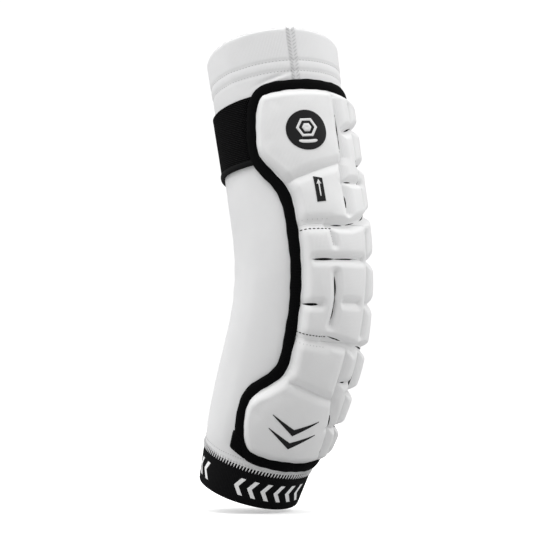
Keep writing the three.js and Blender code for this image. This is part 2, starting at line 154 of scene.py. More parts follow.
def smooth(low, high, at):
    t = np.clip((np.asarray(at, float) - low) / (high - low), 0, 1)
    return t * t * (3 - 2 * t)


def bump_at(at, middle, half):
    """A smooth hump of height 1 around a position."""
    return np.exp(-(((np.asarray(at, float) - middle) / half) ** 2))


def place(turn, along, height):
    """The point, in metres, at a turn and a distance along, some height above the sleeve."""
    turn, along, height = np.broadcast_arrays(
        np.asarray(turn, float), np.asarray(along, float), np.asarray(height, float)
    )
    curved = np.clip(along, -BEND_HALF, BEND_HALF)
    lean = MIDDLE_LEAN - curved / BEND_RADIUS
    rest = along - curved
    centre_x = BEND_RADIUS * (np.cos(lean) - math.cos(MIDDLE_LEAN)) + rest * np.sin(lean)
    centre_z = BEND_RADIUS * (np.sin(lean) - math.sin(MIDDLE_LEAN)) - rest * np.cos(lean)
    radius = profile(SLEEVE_PROFILE, along) + height
    outward = radius * np.cos(np.radians(turn))
    side = radius * np.sin(np.radians(turn))
    point = [centre_x + outward * np.cos(lean), -side, centre_z + outward * np.sin(lean)]
    return np.stack(point, axis=-1) / 1000


# ---- meshes
def linked(name, data):
    thing = bpy.data.objects.new(name, data)
    bpy.context.collection.objects.link(thing)
    return thing


def mesh_piece(name, points, faces, corners, material):
    """A mesh object from points, faces and the (u, v) of every face corner, in millimetres."""
    points = np.asarray(points, float).reshape(-1, 3)
    mesh = bpy.data.meshes.new(name)
    mesh.from_pydata(points.tolist(), [], [list(face) for face in faces])
    layer = mesh.uv_layers.new(name="fabric")
    layer.data.foreach_set("uv", (np.asarray(corners, float) / 100).ravel())
    mesh.polygons.foreach_set("use_smooth", np.ones(len(mesh.polygons), bool))
    mesh.materials.append(material)
    mesh.update()
    turn_right_side_out(mesh)
    return linked(name, mesh)


def turn_right_side_out(mesh):
    mesh.calc_loop_triangles()
    co = np.zeros(len(mesh.vertices) * 3)
    mesh.vertices.foreach_get("co", co)
    index = np.zeros(len(mesh.loop_triangles) * 3, int)
    mesh.loop_triangles.foreach_get("vertices", index)
    a, b, c = co.reshape(-1, 3)[index.reshape(-1, 3)].transpose(1, 0, 2)
    if np.einsum("ij,ij->i", a, np.cross(b, c)).sum() < 0:
        mesh.flip_normals()


def lattice(rows, columns, wrap_rows, wrap_columns):
    """Quads over a grid of points, with the matching corners of a grid one larger where it wraps."""
    r, c = np.meshgrid(
        np.arange(rows if wrap_rows else rows - 1),
        np.arange(columns if wrap_columns else columns - 1),
        indexing="ij",
    )
    around = [(r, c), (r, c + 1), (r + 1, c + 1), (r + 1, c)]
    wide = columns + wrap_columns
    faces = np.stack([(i % rows) * columns + j % columns for i, j in around], -1).reshape(-1, 4)
    corners = np.stack([i * wide + j for i, j in around], -1).reshape(-1, 4)
    return faces, corners


def closed_ring(name, points, uv, material):
    """A solid from a grid of points that closes both ways. uv has one more row and column."""
    rows, columns = points.shape[:2]
    faces, corners = lattice(rows, columns, True, True)
    return mesh_piece(name, points, faces.tolist(), uv.reshape(-1, 2)[corners.ravel()], material)


def slab(name, top, bottom, uv, material):
    """A closed slab between two grids of points of the same size."""
    rows, columns = top.shape[:2]
    points = np.concatenate([top, bottom[::-1]])
    faces, corners = lattice(2 * rows, columns, True, False)
    flat = np.concatenate([uv, uv[::-1], uv[:1]]).reshape(-1, 2)
    r = np.arange(rows - 1)
    caps = []
    for column in (0, columns - 1):
        a, b = r * columns + column, (r + 1) * columns + column
        c, d = (2 * rows - 2 - r) * columns + column, (2 * rows - 1 - r) * columns + column
        caps.append(np.stack([a, b, c, d] if column else [d, c, b, a], -1))
    caps = np.concatenate(caps)
    uv_corners = np.concatenate([flat[corners.ravel()], flat[caps.ravel()]])
    return mesh_piece(name, points, np.concatenate([faces, caps]).tolist(), uv_corners, material)


def plate(name, turn, along, low, high, per_degree, material):
    """A closed slab between two heights over a grid of places on the arm."""
    uv = np.stack([turn * per_degree, along], -1)
    return slab(name, place(turn, along, high), place(turn, along, low), uv, material)


def stitches(name, ends, height_at, radius, material, lift=0.0):
    """Short raised threads. ends holds rows of (turn, along, turn, along)."""
    ends = np.asarray(ends, float)
    share = np.linspace(0, 1, 5)[None, :, None]
    swell = np.array([0.25, 0.9, 1, 0.9, 0.25])[None, :, None]
    angle = np.radians(np.arange(6) * 60)[None, None, :]
    run = np.stack([(ends[:, 2] - ends[:, 0]) * PER_DEGREE, ends[:, 3] - ends[:, 1]], -1)
    run /= np.linalg.norm(run, axis=1, keepdims=True)
    turn = ends[:, None, None, 0] + share * (ends[:, 2] - ends[:, 0])[:, None, None]
    along = ends[:, None, None, 1] + share * (ends[:, 3] - ends[:, 1])[:, None, None]
    side = np.cos(angle) * swell * radius
    rise = height_at(turn, along) + lift + np.sin(angle) * swell * radius
    turns = turn - side * run[:, 1, None, None] / PER_DEGREE
    alongs = along + side * run[:, 0, None, None]
    points = place(turns, alongs, rise)
    count, rows, columns = points.shape[:3]
    one, _ = lattice(rows, columns, False, True)
    caps = [list(range(columns)), list(range((rows - 1) * columns, rows * columns))[::-1]]
    per = rows * columns
    faces = [[v + k * per for v in face] for k in range(count) for face in one.tolist() + caps]
    uv = np.stack([turns * PER_DEGREE, alongs], -1).reshape(-1, 2)
    flat = [v for face in faces for v in face]
    return mesh_piece(name, points, faces, uv[flat], material)


def stitch_row(first, last, pitch, length, along, slant=0.0):
    """The ends of stitches across the arm, from one turn to another."""
    turns = np.arange(first, last, pitch)
    return [(turn, along + slant, turn + length, along - slant) for turn in turns]


# ---- materials
class Nodes:
    """Shorthand for building a node tree."""

    def __init__(self, tree):
        self.tree = tree

    def add(self, kind, **settings):
        node = self.tree.nodes.new(kind)
        for key, value in settings.items():
            setattr(node, key, value)
        return node

    def join(self, a, b):
        self.tree.links.new(a, b)

    def math(self, operation, *values):
        node = self.add("ShaderNodeMath", operation=operation)
        for socket, value in zip(node.inputs, values):
            if isinstance(value, (int, float)):
                socket.default_value = value
            else:
                self.join(value, socket)
        return node.outputs[0]

    def times(self, a, b):
        return self.math("MULTIPLY", a, b)

    def add_share(self, value, share, rest):
        """share of a value, added to the rest."""
        return self.math("MULTIPLY_ADD", value, share, rest)


class Finish(Nodes):
    """A node material for cloth or print. u and v are millimetres on the surface."""

    def __init__(self, name, roughness, specular, sheen=0.0):
        self.material = bpy.data.materials.new(name)
        self.material.use_nodes = True
        super().__init__(self.material.node_tree)
        self.shader = self.tree.nodes["Principled BSDF"]
        self.shader.inputs["Roughness"].default_value = roughness
        self.shader.inputs["Specular IOR Level"].default_value = specular
        self.shader.inputs["Sheen Weight"].default_value = sheen
        self.shader.inputs["Sheen Roughness"].default_value = 0.4
        source = self.add("ShaderNodeUVMap")
        source.uv_map = "fabric"
        scaled = self.add("ShaderNodeVectorMath", operation="SCALE")
        scaled.inputs["Scale"].default_value = 100
        self.join(source.outputs["UV"], scaled.inputs[0])
        self.surface = scaled.outputs["Vector"]
        split = self.add("ShaderNodeSeparateXYZ")
        self.join(self.surface, split.inputs[0])
        self.u, self.v = split.outputs["X"], split.outputs["Y"]

    def wave(self, value, pitch):
        """0 to 1 and back once in every pitch."""
        angle = self.add_share(value, 2 * math.pi / pitch, 0)
        return self.add_share(self.math("SINE", angle), 0.5, 0.5)

    def noise(self, scale, detail=3.0):
        mapping = self.add("ShaderNodeMapping")
        mapping.inputs["Scale"].default_value = (scale, scale, 1)
        self.join(self.surface, mapping.inputs["Vector"])
        texture = self.add("ShaderNodeTexNoise")
        texture.inputs["Scale"].default_value = 1
        texture.inputs["Detail"].default_value = detail
        self.join(mapping.outputs["Vector"], texture.inputs["Vector"])
        return texture.outputs["Fac"]

    def colour(self, low, high, factor):
        mix = self.add("ShaderNodeMix", data_type="RGBA")
        ends = [socket for socket in mix.inputs if socket.type == "RGBA"]
        ends[0].default_value = (*low, 1)
        ends[1].default_value = (*high, 1)
        self.join(factor, mix.inputs[0])
        result = [o for o in mix.outputs if o.type == "RGBA"][0]
        self.join(result, self.shader.inputs["Base Color"])

    def relief(self, height, depth_mm, strength):
        bump = self.add("ShaderNodeBump")
        bump.inputs["Strength"].default_value = strength
        bump.inputs["Distance"].default_value = depth_mm / 1000
        self.join(height, bump.inputs["Height"])
        self.join(bump.outputs["Normal"], self.shader.inputs["Normal"])

    def rough(self, low, high, factor):
        self.join(self.add_share(factor, high - low, low), self.shader.inputs["Roughness"])


def knit(finish, wale, course, slant):
    """Height of a plain knit: columns of V-shaped loops."""
    half = finish.math("PINGPONG", finish.u, wale / 2)
    leaning = finish.add_share(half, slant, finish.v)
    loops = finish.wave(leaning, course)
    columns = finish.wave(finish.u, wale)
    return finish.add_share(columns, 0.6, finish.times(loops, 0.4))


def knit_material():
    """Fine white stretch knit with a soft bloom."""
    finish = Finish("white_knit_look", 0.8, 0.25, sheen=0.12)
    height = knit(finish, 1.0, 0.85, 0.55)
    cloudy = finish.noise(0.05, 4)
    tone = finish.add_share(height, 0.2, finish.times(cloudy, 0.8))
    finish.colour((0.75, 0.752, 0.757), (0.83, 0.83, 0.832), tone)
    fuzz = finish.noise(2.2, 2)
    finish.relief(finish.add_share(fuzz, 0.8, height), 0.16, 0.42)
    finish.rough(0.72, 0.9, cloudy)
    return finish.material


def cover_material():
    """Smooth white stretch cloth moulded over foam: a finer, flatter knit."""
    finish = Finish("guard_cover_look", 0.6, 0.3, sheen=0.08)
    height = knit(finish, 0.8, 0.7, 0.4)
    cloudy = finish.noise(0.09, 4)
    tone = finish.add_share(height, 0.3, finish.times(cloudy, 0.7))
    finish.colour((0.76, 0.762, 0.765), (0.84, 0.84, 0.84), tone)
    finish.relief(finish.add_share(finish.noise(1.1, 3), 0.7, height), 0.12, 0.6)
    finish.rough(0.5, 0.68, cloudy)
    return finish.material


def tape_material(name, specular):
    """Matt black binding with fine cross ribs and a firm edge on each side."""
    finish = Finish(name, 0.75, specular)
    ribs = finish.wave(finish.u, 0.9)
    lines = finish.wave(finish.v, 1.3)
    worn = finish.noise(0.5, 4)
    tone = finish.times(ribs, worn)
    finish.colour((0.001, 0.001, 0.0012), (0.008, 0.008, 0.0085), tone)
    height = finish.add_share(lines, 0.4, ribs)
    finish.relief(finish.add_share(worn, 0.6, height), 0.2, 0.7)
    finish.rough(0.65, 0.9, worn)
    return finish.material


def strap_material():
    """Brushed loop pile: short loops in slanting rows, their tops lighter as painted highlight."""
    finish = Finish("strap_loop_look", 0.9, 0.03)
    slanting = finish.add_share(finish.u, 0.55, finish.v)
    crossing = finish.add_share(finish.u, -1.15, finish.v)
    loops = finish.times(finish.wave(slanting, 1.7), finish.wave(crossing, 1.9))
    tangle = finish.noise(1.6, 4)
    # Lighter specks where the loops stand up: painted highlight.
    tone = finish.math("POWER", finish.times(loops, tangle), 1.9)
    finish.colour((0.001, 0.001, 0.0012), (0.11, 0.11, 0.112), tone)
    finish.relief(finish.add_share(tangle, 0.8, loops), 0.55, 0.9)
    finish.rough(0.8, 0.95, tangle)
    return finish.material


def hook_material():
    """Moulded hook tape: rows of tiny stems."""
    finish = Finish("hook_tape_look", 0.5, 0.35)
    stems = finish.times(finish.wave(finish.u, 1.3), finish.wave(finish.v, 1.5))
    finish.colour((0.006, 0.006, 0.007), (0.045, 0.045, 0.048), stems)
    finish.relief(stems, 0.7, 1.0)
    finish.rough(0.45, 0.7, stems)
    return finish.material


def cuff_material():
    """Black woven elastic with groups of six white chevrons woven in."""
    finish = Finish("cuff_elastic_look", 0.8, 0.05)
    off_middle = finish.math("ABSOLUTE", finish.math("SUBTRACT", finish.v, sum(CUFF_BAND) / 2))
    slanted = finish.math("ADD", finish.add_share(off_middle, 0.6, finish.u), 14.0)
    within_group = finish.math("FLOORED_MODULO", slanted, CHEVRON_GROUP)
    where = finish.math("DIVIDE", within_group, CHEVRON_GROUP)
    bars = finish.add("ShaderNodeValToRGB")
    bars.color_ramp.interpolation = "CONSTANT"
    edges = [(0.0, 0)]
    for start in CHEVRON_STARTS:
        edges += [(start / CHEVRON_GROUP, 1), ((start + CHEVRON_WIDTH) / CHEVRON_GROUP, 0)]
    points = bars.color_ramp.elements
    points[1].position = edges[1][0]
    for position, _ in edges[2:]:
        points.new(position)
    for point, (position, white) in zip(points, edges):
        point.position = position
        point.color = (white, white, white, 1)
    finish.join(where, bars.inputs[0])
    above = finish.math("GREATER_THAN", finish.v, CUFF_BAND[0])
    below = finish.math("LESS_THAN", finish.v, CUFF_BAND[1])
    band = finish.times(above, below)
    mask = finish.times(bars.outputs["Color"], band)
    weave = finish.add_share(finish.wave(finish.v, 0.8), 0.5, finish.wave(finish.u, 1.15))
    tone = finish.add_share(weave, 0.004, finish.times(mask, 0.97))
    finish.colour((0.003, 0.003, 0.0035), (1, 1, 1), tone)
    finish.relief(finish.add_share(mask, 0.5, weave), 0.2, 0.6)
    finish.rough(0.7, 0.9, finish.noise(0.4, 3))
    return finish.material


def grained_material(name, low, high, scale, relief, rough, roughness, specular):
    """A plain material with a faint grain in its colour, relief and roughness."""
    finish = Finish(f"{name}_look", roughness, specular)
    grain = finish.noise(scale)
    finish.colour(low, high, grain)
    finish.relief(grain, *relief)
    finish.rough(*rough, grain)
    return finish.material


def thread_material(name, low, high):
    """Twisted sewing thread."""
    finish = Finish(f"{name}_thread_look", 0.6, 0.3, sheen=0.1)
    twist = finish.wave(finish.math("ADD", finish.u, finish.v), 0.5)
    finish.colour(low, high, twist)
    finish.relief(twist, 0.08, 0.6)
    finish.rough(0.5, 0.75, twist)
    return finish.material


WHITE_KNIT = knit_material()
WHITE_COVER = cover_material()
BLACK_TAPE = tape_material("binding_look", 0.04)
EDGE_TAPE = tape_material("edge_tape_look", 0.12)
LOOP_PILE = strap_material()
HOOKS = hook_material()
CUFF_WEAVE = cuff_material()
WHITE_THREAD = thread_material("white", (0.78, 0.78, 0.785), (0.9, 0.9, 0.9))
# Grey for stitches of white thread: painted shade where they sink into the cloth.
SHADED_STITCH_THREAD = thread_material("painted_shade_stitch", (0.38, 0.38, 0.385), (0.54, 0.54, 0.545))
# Grey between the white flatlock stitches: painted shade in the gaps of the seam.
FLATLOCK_SHADE_THREAD = thread_material("seam", (0.6, 0.6, 0.605), (0.72, 0.72, 0.725))
BLACK_THREAD = thread_material("black", (0.004, 0.004, 0.004), (0.02, 0.02, 0.02))
# Satin rubber prints, clear grip silicone on elastic, and black plates in the deepest grooves that paint
# their shade.
ends = (0.008, 0.008, 0.0085), (0.014, 0.014, 0.015)
DARK_PRINT = grained_material("dark_print", *ends, 3.0, (0.06, 0.5), (0.42, 0.6), 0.5, 0.15)
ends = (0.72, 0.72, 0.72), (0.8, 0.8, 0.8)
LIGHT_PRINT = grained_material("light_print", *ends, 3.0, (0.05, 0.5), (0.5, 0.65), 0.55, 0.3)
ends = (0.7, 0.71, 0.72), (0.8, 0.81, 0.82)
SILICONE = grained_material("silicone", *ends, 0.6, (0.1, 0.4), (0.25, 0.42), 0.3, 0.5)
ends = (0.0015, 0.0015, 0.0015), (0.006, 0.006, 0.006)
GROOVE_SHADE_BLACK = grained_material("groove_shade", *ends, 1.5, (0.1, 0.5), (0.9, 1.0), 0.95, 0.03)


def stands_for(piece, nodes):
    if nodes:
        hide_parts(*nodes)
    return piece


def follow_elbow(piece, slot, *nodes):
    """The piece's transform is baked in, and it stands for these CAD nodes."""
    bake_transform(piece)
    return stands_for(piece, nodes)


def follow_strap(piece, slot, *nodes):
    """The piece's transform is baked in, and it stands for these CAD nodes."""
    start = Vector(place(STRAP_FOLD - 4, STRAP_MIDDLE, 2.0))
    end = Vector(place(STRAP_FOLD + 6, STRAP_MIDDLE, 2.0))
    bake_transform(piece)
    return stands_for(piece, nodes)


def fasten(piece, body, slot, *nodes):
    """The piece moves with one body."""
    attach(piece, body)
    return stands_for(piece, nodes)


# ---- sleeve
def rim(turn):
    return RIM_ALONG - RIM_RISE * np.cos(np.radians(turn - RIM_RISE_TURN))


def angle_from(turn, middle):
    """Degrees from a turn, the short way round."""
    return (np.asarray(turn, float) - middle + 180) % 360 - 180


def bump_round(turn, middle, half):
    return bump_at(angle_from(turn, middle), 0, half)


def sleeve_relief(turn, along):
    """How far the knit stands off its smooth tube: hem, stitch rows, pressed folds and creases."""
    hem = 0.35 * (1 - smooth(HEM_BASE, -150.5, along))
    rows = sum(-0.5 * bump_at(along, row, 0.9) for row in HEM_ROWS)
    puff = 0.35 * bump_at(along, sum(HEM_ROWS) / 2, 2.8)
    above_strap = 1 - smooth(-133, -127, along)
    pressed = 0.6 * bump_round(turn, 86, 6) + 0.8 * bump_round(turn, -94, 6)
    pressed = pressed * (0.35 + 0.65 * above_strap)
    slant = along + 143 - 0.2 * angle_from(turn, 38)
    pulled = 0.8 * bump_at(slant, 2.4, 1.6) - 1.1 * bump_at(slant, 0, 1.2)
    pulled = pulled * bump_round(turn, 46, 13)
    waves = 0.28 * np.sin(np.radians(3 * turn) + along / 23) * np.sin(along / 37 + 1.3)
    waves += 0.18 * np.sin(np.radians(5 * turn) - along / 15 + 0.7)
    crook = bump_round(turn, 183, 36) * bump_at(along, 2, 36)
    folds = crook * 1.3 * np.sin(along / 2.9 + 0.8 * np.sin(np.radians(2.2 * turn)))
    seam = -0.12 * bump_round(turn, FLATLOCK_TURN, 3.2)
    seam = seam * (1 - smooth(-141, -138, along))
    calm = 1 - smooth(118, 128, along)
    return hem + rows + puff + pressed + pulled + seam + (waves + folds) * calm


def sleeve_rows(turns, step):
    """Distances down the sleeve at each turn: the rim slants, the rest is level."""
    down = np.linspace(0, 1, round(18 / step))[1:, None]
    slanting = rim(turns) + down * (HEM_BASE - rim(turns))
    level = np.arange(HEM_BASE + step, SLEEVE_END, step)[:, None]
    return np.concatenate([slanting, level + 0 * turns])


def build_sleeve():
    columns = 264
    turns = np.arange(columns) * 360 / columns

    def wall(step, depth):
        along = sleeve_rows(turns, step)
        thick = ramp([(-154, HEM), (-152, KNIT)], along) * depth
        return np.stack([turns + 0 * along, along, sleeve_relief(turns, along) - thick], -1)

    lip = np.stack([turns, rim(turns) - 0.3, sleeve_relief(turns, rim(turns)) - HEM / 2], -1)
    rows = np.concatenate([lip[None], wall(1.25, 0), wall(3.0, 1)[::-1]])
    points = place(*np.moveaxis(rows, -1, 0))
    u = np.linspace(0, 360, columns + 1) * 0.8
    v = np.concatenate([rows[:, :1, 1], rows[:1, :1, 1]])
    uv = np.stack(np.broadcast_arrays(u[None, :], v), -1)
    sleeve = closed_ring("knit_sleeve", points, uv, WHITE_KNIT)
    nodes = ("top_hem", "upper_sleeve", "elbow_sleeve", "forearm_sleeve")
    return follow_elbow(sleeve, "white_knit", *nodes)


def hem_stitches():
    # Grey thread: painted shade on the white hem stitches.
    ends = [end for row in HEM_ROWS for end in stitch_row(0, 360, 3.0, 1.4, row, 0.1)]
    piece = stitches("hem_stitch_rows", ends, sleeve_relief, 0.3, SHADED_STITCH_THREAD, 0.08)
    return follow_elbow(piece, "white_knit")


def flatlock_seam():
    """Two rows of slanting stitches from the rim down to the guard."""
    ends = []
    for along in np.arange(-177.0, -138.5, 2.6):
        for side in (-1, 1):
            turn = FLATLOCK_TURN + side * 2.1
            ends.append((turn - 1.8 * side, along + 1.5, turn + 1.8 * side, along - 0.9))
    piece = stitches("flatlock_stitches", ends, sleeve_relief, 0.45, WHITE_THREAD, 0.14)
    # Grey stitches between the white ones paint the shade in the gaps of the seam; under names these.
    between = np.array(ends) + (0, 1.3, 0, 1.3)
    under = stitches("flatlock_shade_stitches", between, sleeve_relief, 0.34, FLATLOCK_SHADE_THREAD, 0.05)
    follow_elbow(under, "white_knit")
    return follow_elbow(piece, "white_knit")


def build_gripper():
    """A grip band inside the hem with three wavy silicone beads."""
    turns = np.arange(240) * 1.5
    section = [(-5, 0), (-4.6, 0.35), (4.6, 0.35), (5, 0), (4.6, -0.35), (-4.6, -0.35)]
    inside = sleeve_relief(turns, GRIP_ALONG) - HEM
    shift, rise = np.array(section).T[..., None]
    uv = np.zeros((7, 241, 2))
    uv[..., 0] = np.linspace(0, 288, 241)
    uv[..., 1] = np.arange(7)[:, None]
    points = place(turns, GRIP_ALONG + shift, inside - 0.35 + rise)
    band = closed_ring("hem_grip_band", points, uv, SILICONE)
    fasten(band, "upper_arm", "silicone_grip", "hem_gripper_band")
    angle = np.radians(np.arange(6) * 60)[:, None]
    for number, shift in enumerate((-3.0, 0.0, 3.0)):
        middle = GRIP_ALONG + shift + 0.9 * np.sin(np.radians(turns * 12))
        along = middle + 0.55 * np.cos(angle)
        height = inside - 0.85 + 0.5 * np.sin(angle)
        bead = closed_ring(f"grip_bead_{number + 1}", place(turns, along, height), uv, SILICONE)
        fasten(bead, "upper_arm", "silicone_grip")


# ---- cuff
def build_cuff():
    columns = 240
    turns = np.arange(columns) * 360 / columns
    top = 0.55
    out = [(CUFF_TOP, top - 0.7), (CUFF_TOP + 0.25, top - 0.15)]
    out += [(along, top) for along in np.linspace(CUFF_TOP + 0.9, CUFF_END - 0.9, 22)]
    out += [(CUFF_END - 0.3, top - 0.15), (CUFF_END, top - 0.8), (CUFF_END - 0.3, top - CUFF_WALL + 0.2)]
    out += [(along, top - CUFF_WALL) for along in np.linspace(CUFF_END - 0.9, CUFF_TOP + 0.9, 9)]
    along, height = np.array(out).T[..., None]
    soft = 0.16 * np.sin(np.radians(4 * turns) + 1.1) + 0.1 * np.sin(np.radians(7 * turns))
    points = place(turns, along, height + soft)
    v = np.concatenate([along, along[:1]])
    uv = np.stack(np.broadcast_arrays(np.linspace(0, 222, columns + 1)[None, :], v), -1)
    cuff = closed_ring("cuff_elastic_band", points, uv, CUFF_WEAVE)
    fasten(cuff, "forearm", "cuff_elastic", "cuff_elastic")


def cuff_relief(turn, along):
    """Height of the outside at the join of sleeve and cuff."""
    return 0.15 + 0.45 * smooth(CUFF_TOP - 1, CUFF_TOP + 0.6, along) + 0 * np.asarray(turn)


def overlock_join():
    ends = [(turn - 0.9, 125.4, turn + 0.9, 130.2) for turn in np.arange(0, 360, 3.3)]
    piece = stitches("cuff_overlock", ends, cuff_relief, 0.55, WHITE_THREAD, 0.2)
    fasten(piece, "forearm", "white_knit")
    # Grey thread: painted shade on the white cover stitches.
    ends = stitch_row(0, 360, 2.9, 1.3, 122.6)
    piece = stitches("cuff_cover_stitch", ends, sleeve_relief, 0.26, SHADED_STITCH_THREAD, 0.06)
    fasten(piece, "forearm", "white_knit")


# ---- guard
# Grooves between the foam blocks: points (turn, along), depth and half width in millimetres.
GROOVES = [
    # between the upper wing block and the label block, then down the side of the label block
    ([(46, -62.5), (41, -64.4), (4, -75)], 3.2, 5.5),
    ([(-1.2, -126), (-0.9, -80), (2.6, -74), (3.2, -60), (3.0, -40)], 3.6, 4.6),
    # across the ridge and inner columns of the upper arm
    ([(-7, -99.5), (-22, -104.5), (-44, -109)], 5.0, 5.0),
    ([(4, -60.5), (-20, -63)], 4.0, 4.5),
    ([(-20, -76.5), (-44, -79.5)], 5.2, 5.0),
    ([(-19, -122), (-19.5, -44)], 1.7, 3.8),
    # across the elbow rows
    ([(20.6, -31), (18, -22.5)], 2.2, 3.2),
    ([(32, -14.8), (-7, -15.8)], 3.6, 3.7),
    ([(17.5, -8), (15.9, 5), (15.9, 10), (17.6, 19)], 3.4, 3.6),
    ([(42, 9.9), (27, 8.8)], 3.4, 3.5),
    ([(9.5, 6.9), (-4, 6.9)], 2.7, 3.5),
    ([(-14.6, -30), (-14.6, 24)], 2.8, 4.2),
    ([(-16, -15.8), (-44, -17.5)], 5.0, 4.6),
    ([(-16, 7.6), (-44, 7.4)], 3.6, 4.4),
    # forearm
    ([(35.5, 56.2), (31, 57), (-2, 65)], 3.4, 5.2),
    ([(-2.2, 32), (-2.6, 64), (-7.2, 76), (-10.4, 88), (-13.6, 114)], 3.6, 4.4),
    ([(-3.5, 51.4), (-18, 51.6)], 3.4, 4.2),
    ([(-8, 86.8), (-22, 87.4)], 3.6, 4.4),
    ([(-17.8, 34), (-19, 58), (-21, 84), (-26.4, 96), (-28.6, 112)], 3.2, 4.4),
    ([(-19, 59.4), (-44, 62.5)], 5.4, 5.0),
    ([(-22.5, 87), (-44, 91.2)], 5.4, 5.0),
]
GROOVE_SPREAD = 1.42
BLEND = 5  # the higher, the sharper the corners where grooves meet
# The two lines where the guard folds: flat strips on the outer side, a valley further in.
FOLD_LINES = [
    ([(50, UPPER_FOLD), (21, UPPER_FOLD)], 3.0, 7.0),
    ([(23, -33.4), (4, -33.4), (-14, -37.6), (-32, -43.4), (-44, -45)], 4.8, 5.4),
    ([(50, LOWER_FOLD), (17, LOWER_FOLD)], 3.0, 6.8),
    ([(21, 27), (3, 29), (-10, 31.5), (-16, 30.2), (-40, 34), (-44, 34)], 4.8, 5.4),
]
GROOVE_SHADE_SHARE = 0.72
# Black plates that paint the shade in the deepest grooves: turn, along at both ends, and width.
GROOVE_SHADES = [
    (-1.5, -112, -0.8, -80, 1.0),
    (-12, -101, -26, -106, 1.5),
    (-33, -79.4, -23, -76.8, 1.3),
    (1.2, -60.9, -8, -61.8, 1.1),
    (-19.3, -88, -19.3, -60, 1.0),
    (2.9, -51, 3.0, -42, 1.3),
    (18.5, -33.2, 8.5, -33.3, 0.8),
    (5.5, -33.6, -4, -35.2, 0.7),
    (-12, -37.1, -31, -43, 1.1),
    (35, -14.8, 17, -15.2, 1.6),
    (17.3, -6.6, 15.9, 6, 1.7),
    (15.9, 3.0, 17.5, 18, 1.9),
    (39.5, 9.8, 27.6, 8.9, 1.9),
    (-14.6, -26, -14.6, -8.6, 0.9),
    (-14.6, 1, -14.6, 17, 0.9),
    (-20, -16, -30, -16.7, 1.2),
    (18, 25.2, 4.5, 27.4, 0.9),
    (-16, 30.2, -37, 33.6, 1.2),
    (-6, 51.4, -12, 51.5, 1.4),
    (-18.4, 41, -19.4, 57, 1.6),
    (-8, 77, -10.4, 88, 1.6),
    (-25, 87.8, -36, 90, 1.8),
    (-12.8, 104, -13.2, 110, 1.2),
    (20, -15.1, -4, -15.8, 0.9),
]


def distance_to(path, turn, along):
    """Millimetres over the surface from each place to a line through (turn, along) points."""
    path = np.array(path, float) * (PER_DEGREE, 1)
    u, v = turn * PER_DEGREE, along
    nearest = np.full(np.shape(u), np.inf)
    for a, b in zip(path[:-1], path[1:]):
        run = b - a
        share = ((u - a[0]) * run[0] + (v - a[1]) * run[1]) / (run @ run)
        share = np.clip(share, 0, 1)
        nearest = np.minimum(nearest, np.hypot(u - a[0] - share * run[0], v - a[1] - share * run[1]))
    return nearest


def outline():
    """The guard's outline as a closed run of (turn, along) corners."""
    outer = [(turn, along) for along, turn in OUTER_EDGE]
    inner = [(turn, along) for along, turn in INNER_EDGE]
    return outer + inner[::-1]


def rounded_loop(corners):
    """Cuts the corners of a closed outline twice."""
    loop = np.array(corners, float)
    for _ in range(2):
        after = np.roll(loop, -1, axis=0)
        loop = np.stack([0.75 * loop + 0.25 * after, 0.25 * loop + 0.75 * after], 1).reshape(-1, 2)
    return loop


def within(rim_line, turn, along):
    """Whether each place is inside an outline whose last point is its first."""
    inside = np.zeros(np.shape(turn), bool)
    for (turn_a, along_a), (turn_b, along_b) in zip(rim_line[:-1], rim_line[1:]):
        if along_a != along_b:
            crossing = turn_a + (along - along_a) / (along_b - along_a) * (turn_b - turn_a)
            inside ^= ((along_a > along) != (along_b > along)) & (turn < crossing)
    return inside


def read_grid(grid, turn, along):
    """The value of a grid of turns, distances along and values at each place."""
    turns, alongs, values = grid
    across = np.clip((turn - turns[0]) / (turns[1] - turns[0]), 0, len(turns) - 1.001)
    down = np.clip((along - alongs[0]) / (alongs[1] - alongs[0]), 0, len(alongs) - 1.001)
    column, row = np.floor(across).astype(int), np.floor(down).astype(int)
    across, down = across - column, down - row
    upper = values[row, column] * (1 - across) + values[row, column + 1] * across
    lower = values[row + 1, column] * (1 - across) + values[row + 1, column + 1] * across
    return upper * (1 - down) + lower * down


GUARD_LOOP = rounded_loop(outline())
GUARD_RIM = np.vstack([GUARD_LOOP, GUARD_LOOP[:1]])
# How far the cover has swollen: flat here, and then what simulate_swelling() finds.
SWELLING = (np.linspace(-48, 76, 64), np.linspace(-134, 120, 142), np.zeros((142, 64)))


def guard_height(turn, along):
    """Height of the guard's cover: a cushion with rounded sides, cut by grooves."""
    edge = distance_to(GUARD_RIM, turn, along)
    edge = np.where(within(GUARD_RIM, turn, along), edge, 0)
    side = np.clip((edge + 0.2) / 7.0, 0, 1)
    cushion = 1 - (1 - side) ** 2.0
    crown = profile(CROWN_PROFILE, along)
    crown = crown + 0.5 * bump_at(turn, 5, 16) * bump_at(along, 0, 30)
    crown = crown - 3.6 * smooth(-12, -34, turn) * bump_at(along, -22, 50)
    depth = np.zeros(np.shape(turn))
    for path, deep, half in GROOVES:
        distance = distance_to(path, turn, along)
        away = distance / (GROOVE_SPREAD * half)
        wall = 0.2 * (1 - smooth(0.06, 0.95, away)) + 0.8 * np.clip(1 - away, 0, 1) ** 2.2
        depth = depth + (deep * wall + 0.5 * bump_at(distance, 0, 1.1)) ** BLEND
    for path, deep, half in FOLD_LINES:
        away = np.clip((distance_to(path, turn, along) - 1.2) / (half - 1.2), 0, 1)
        depth = depth + (deep * (1 - away) ** 1.9) ** BLEND
    depth = depth ** (1 / BLEND)
    soft = 0.16 * np.sin(turn / 6.1 + along / 9.0) * np.sin(along / 7.3 - turn / 11.0)
    rise = (crown + soft - BACKING_HEIGHT) * cushion - depth * (0.25 + 0.75 * cushion)
    return BACKING_HEIGHT + np.maximum(rise, 0) + read_grid(SWELLING, turn, along)


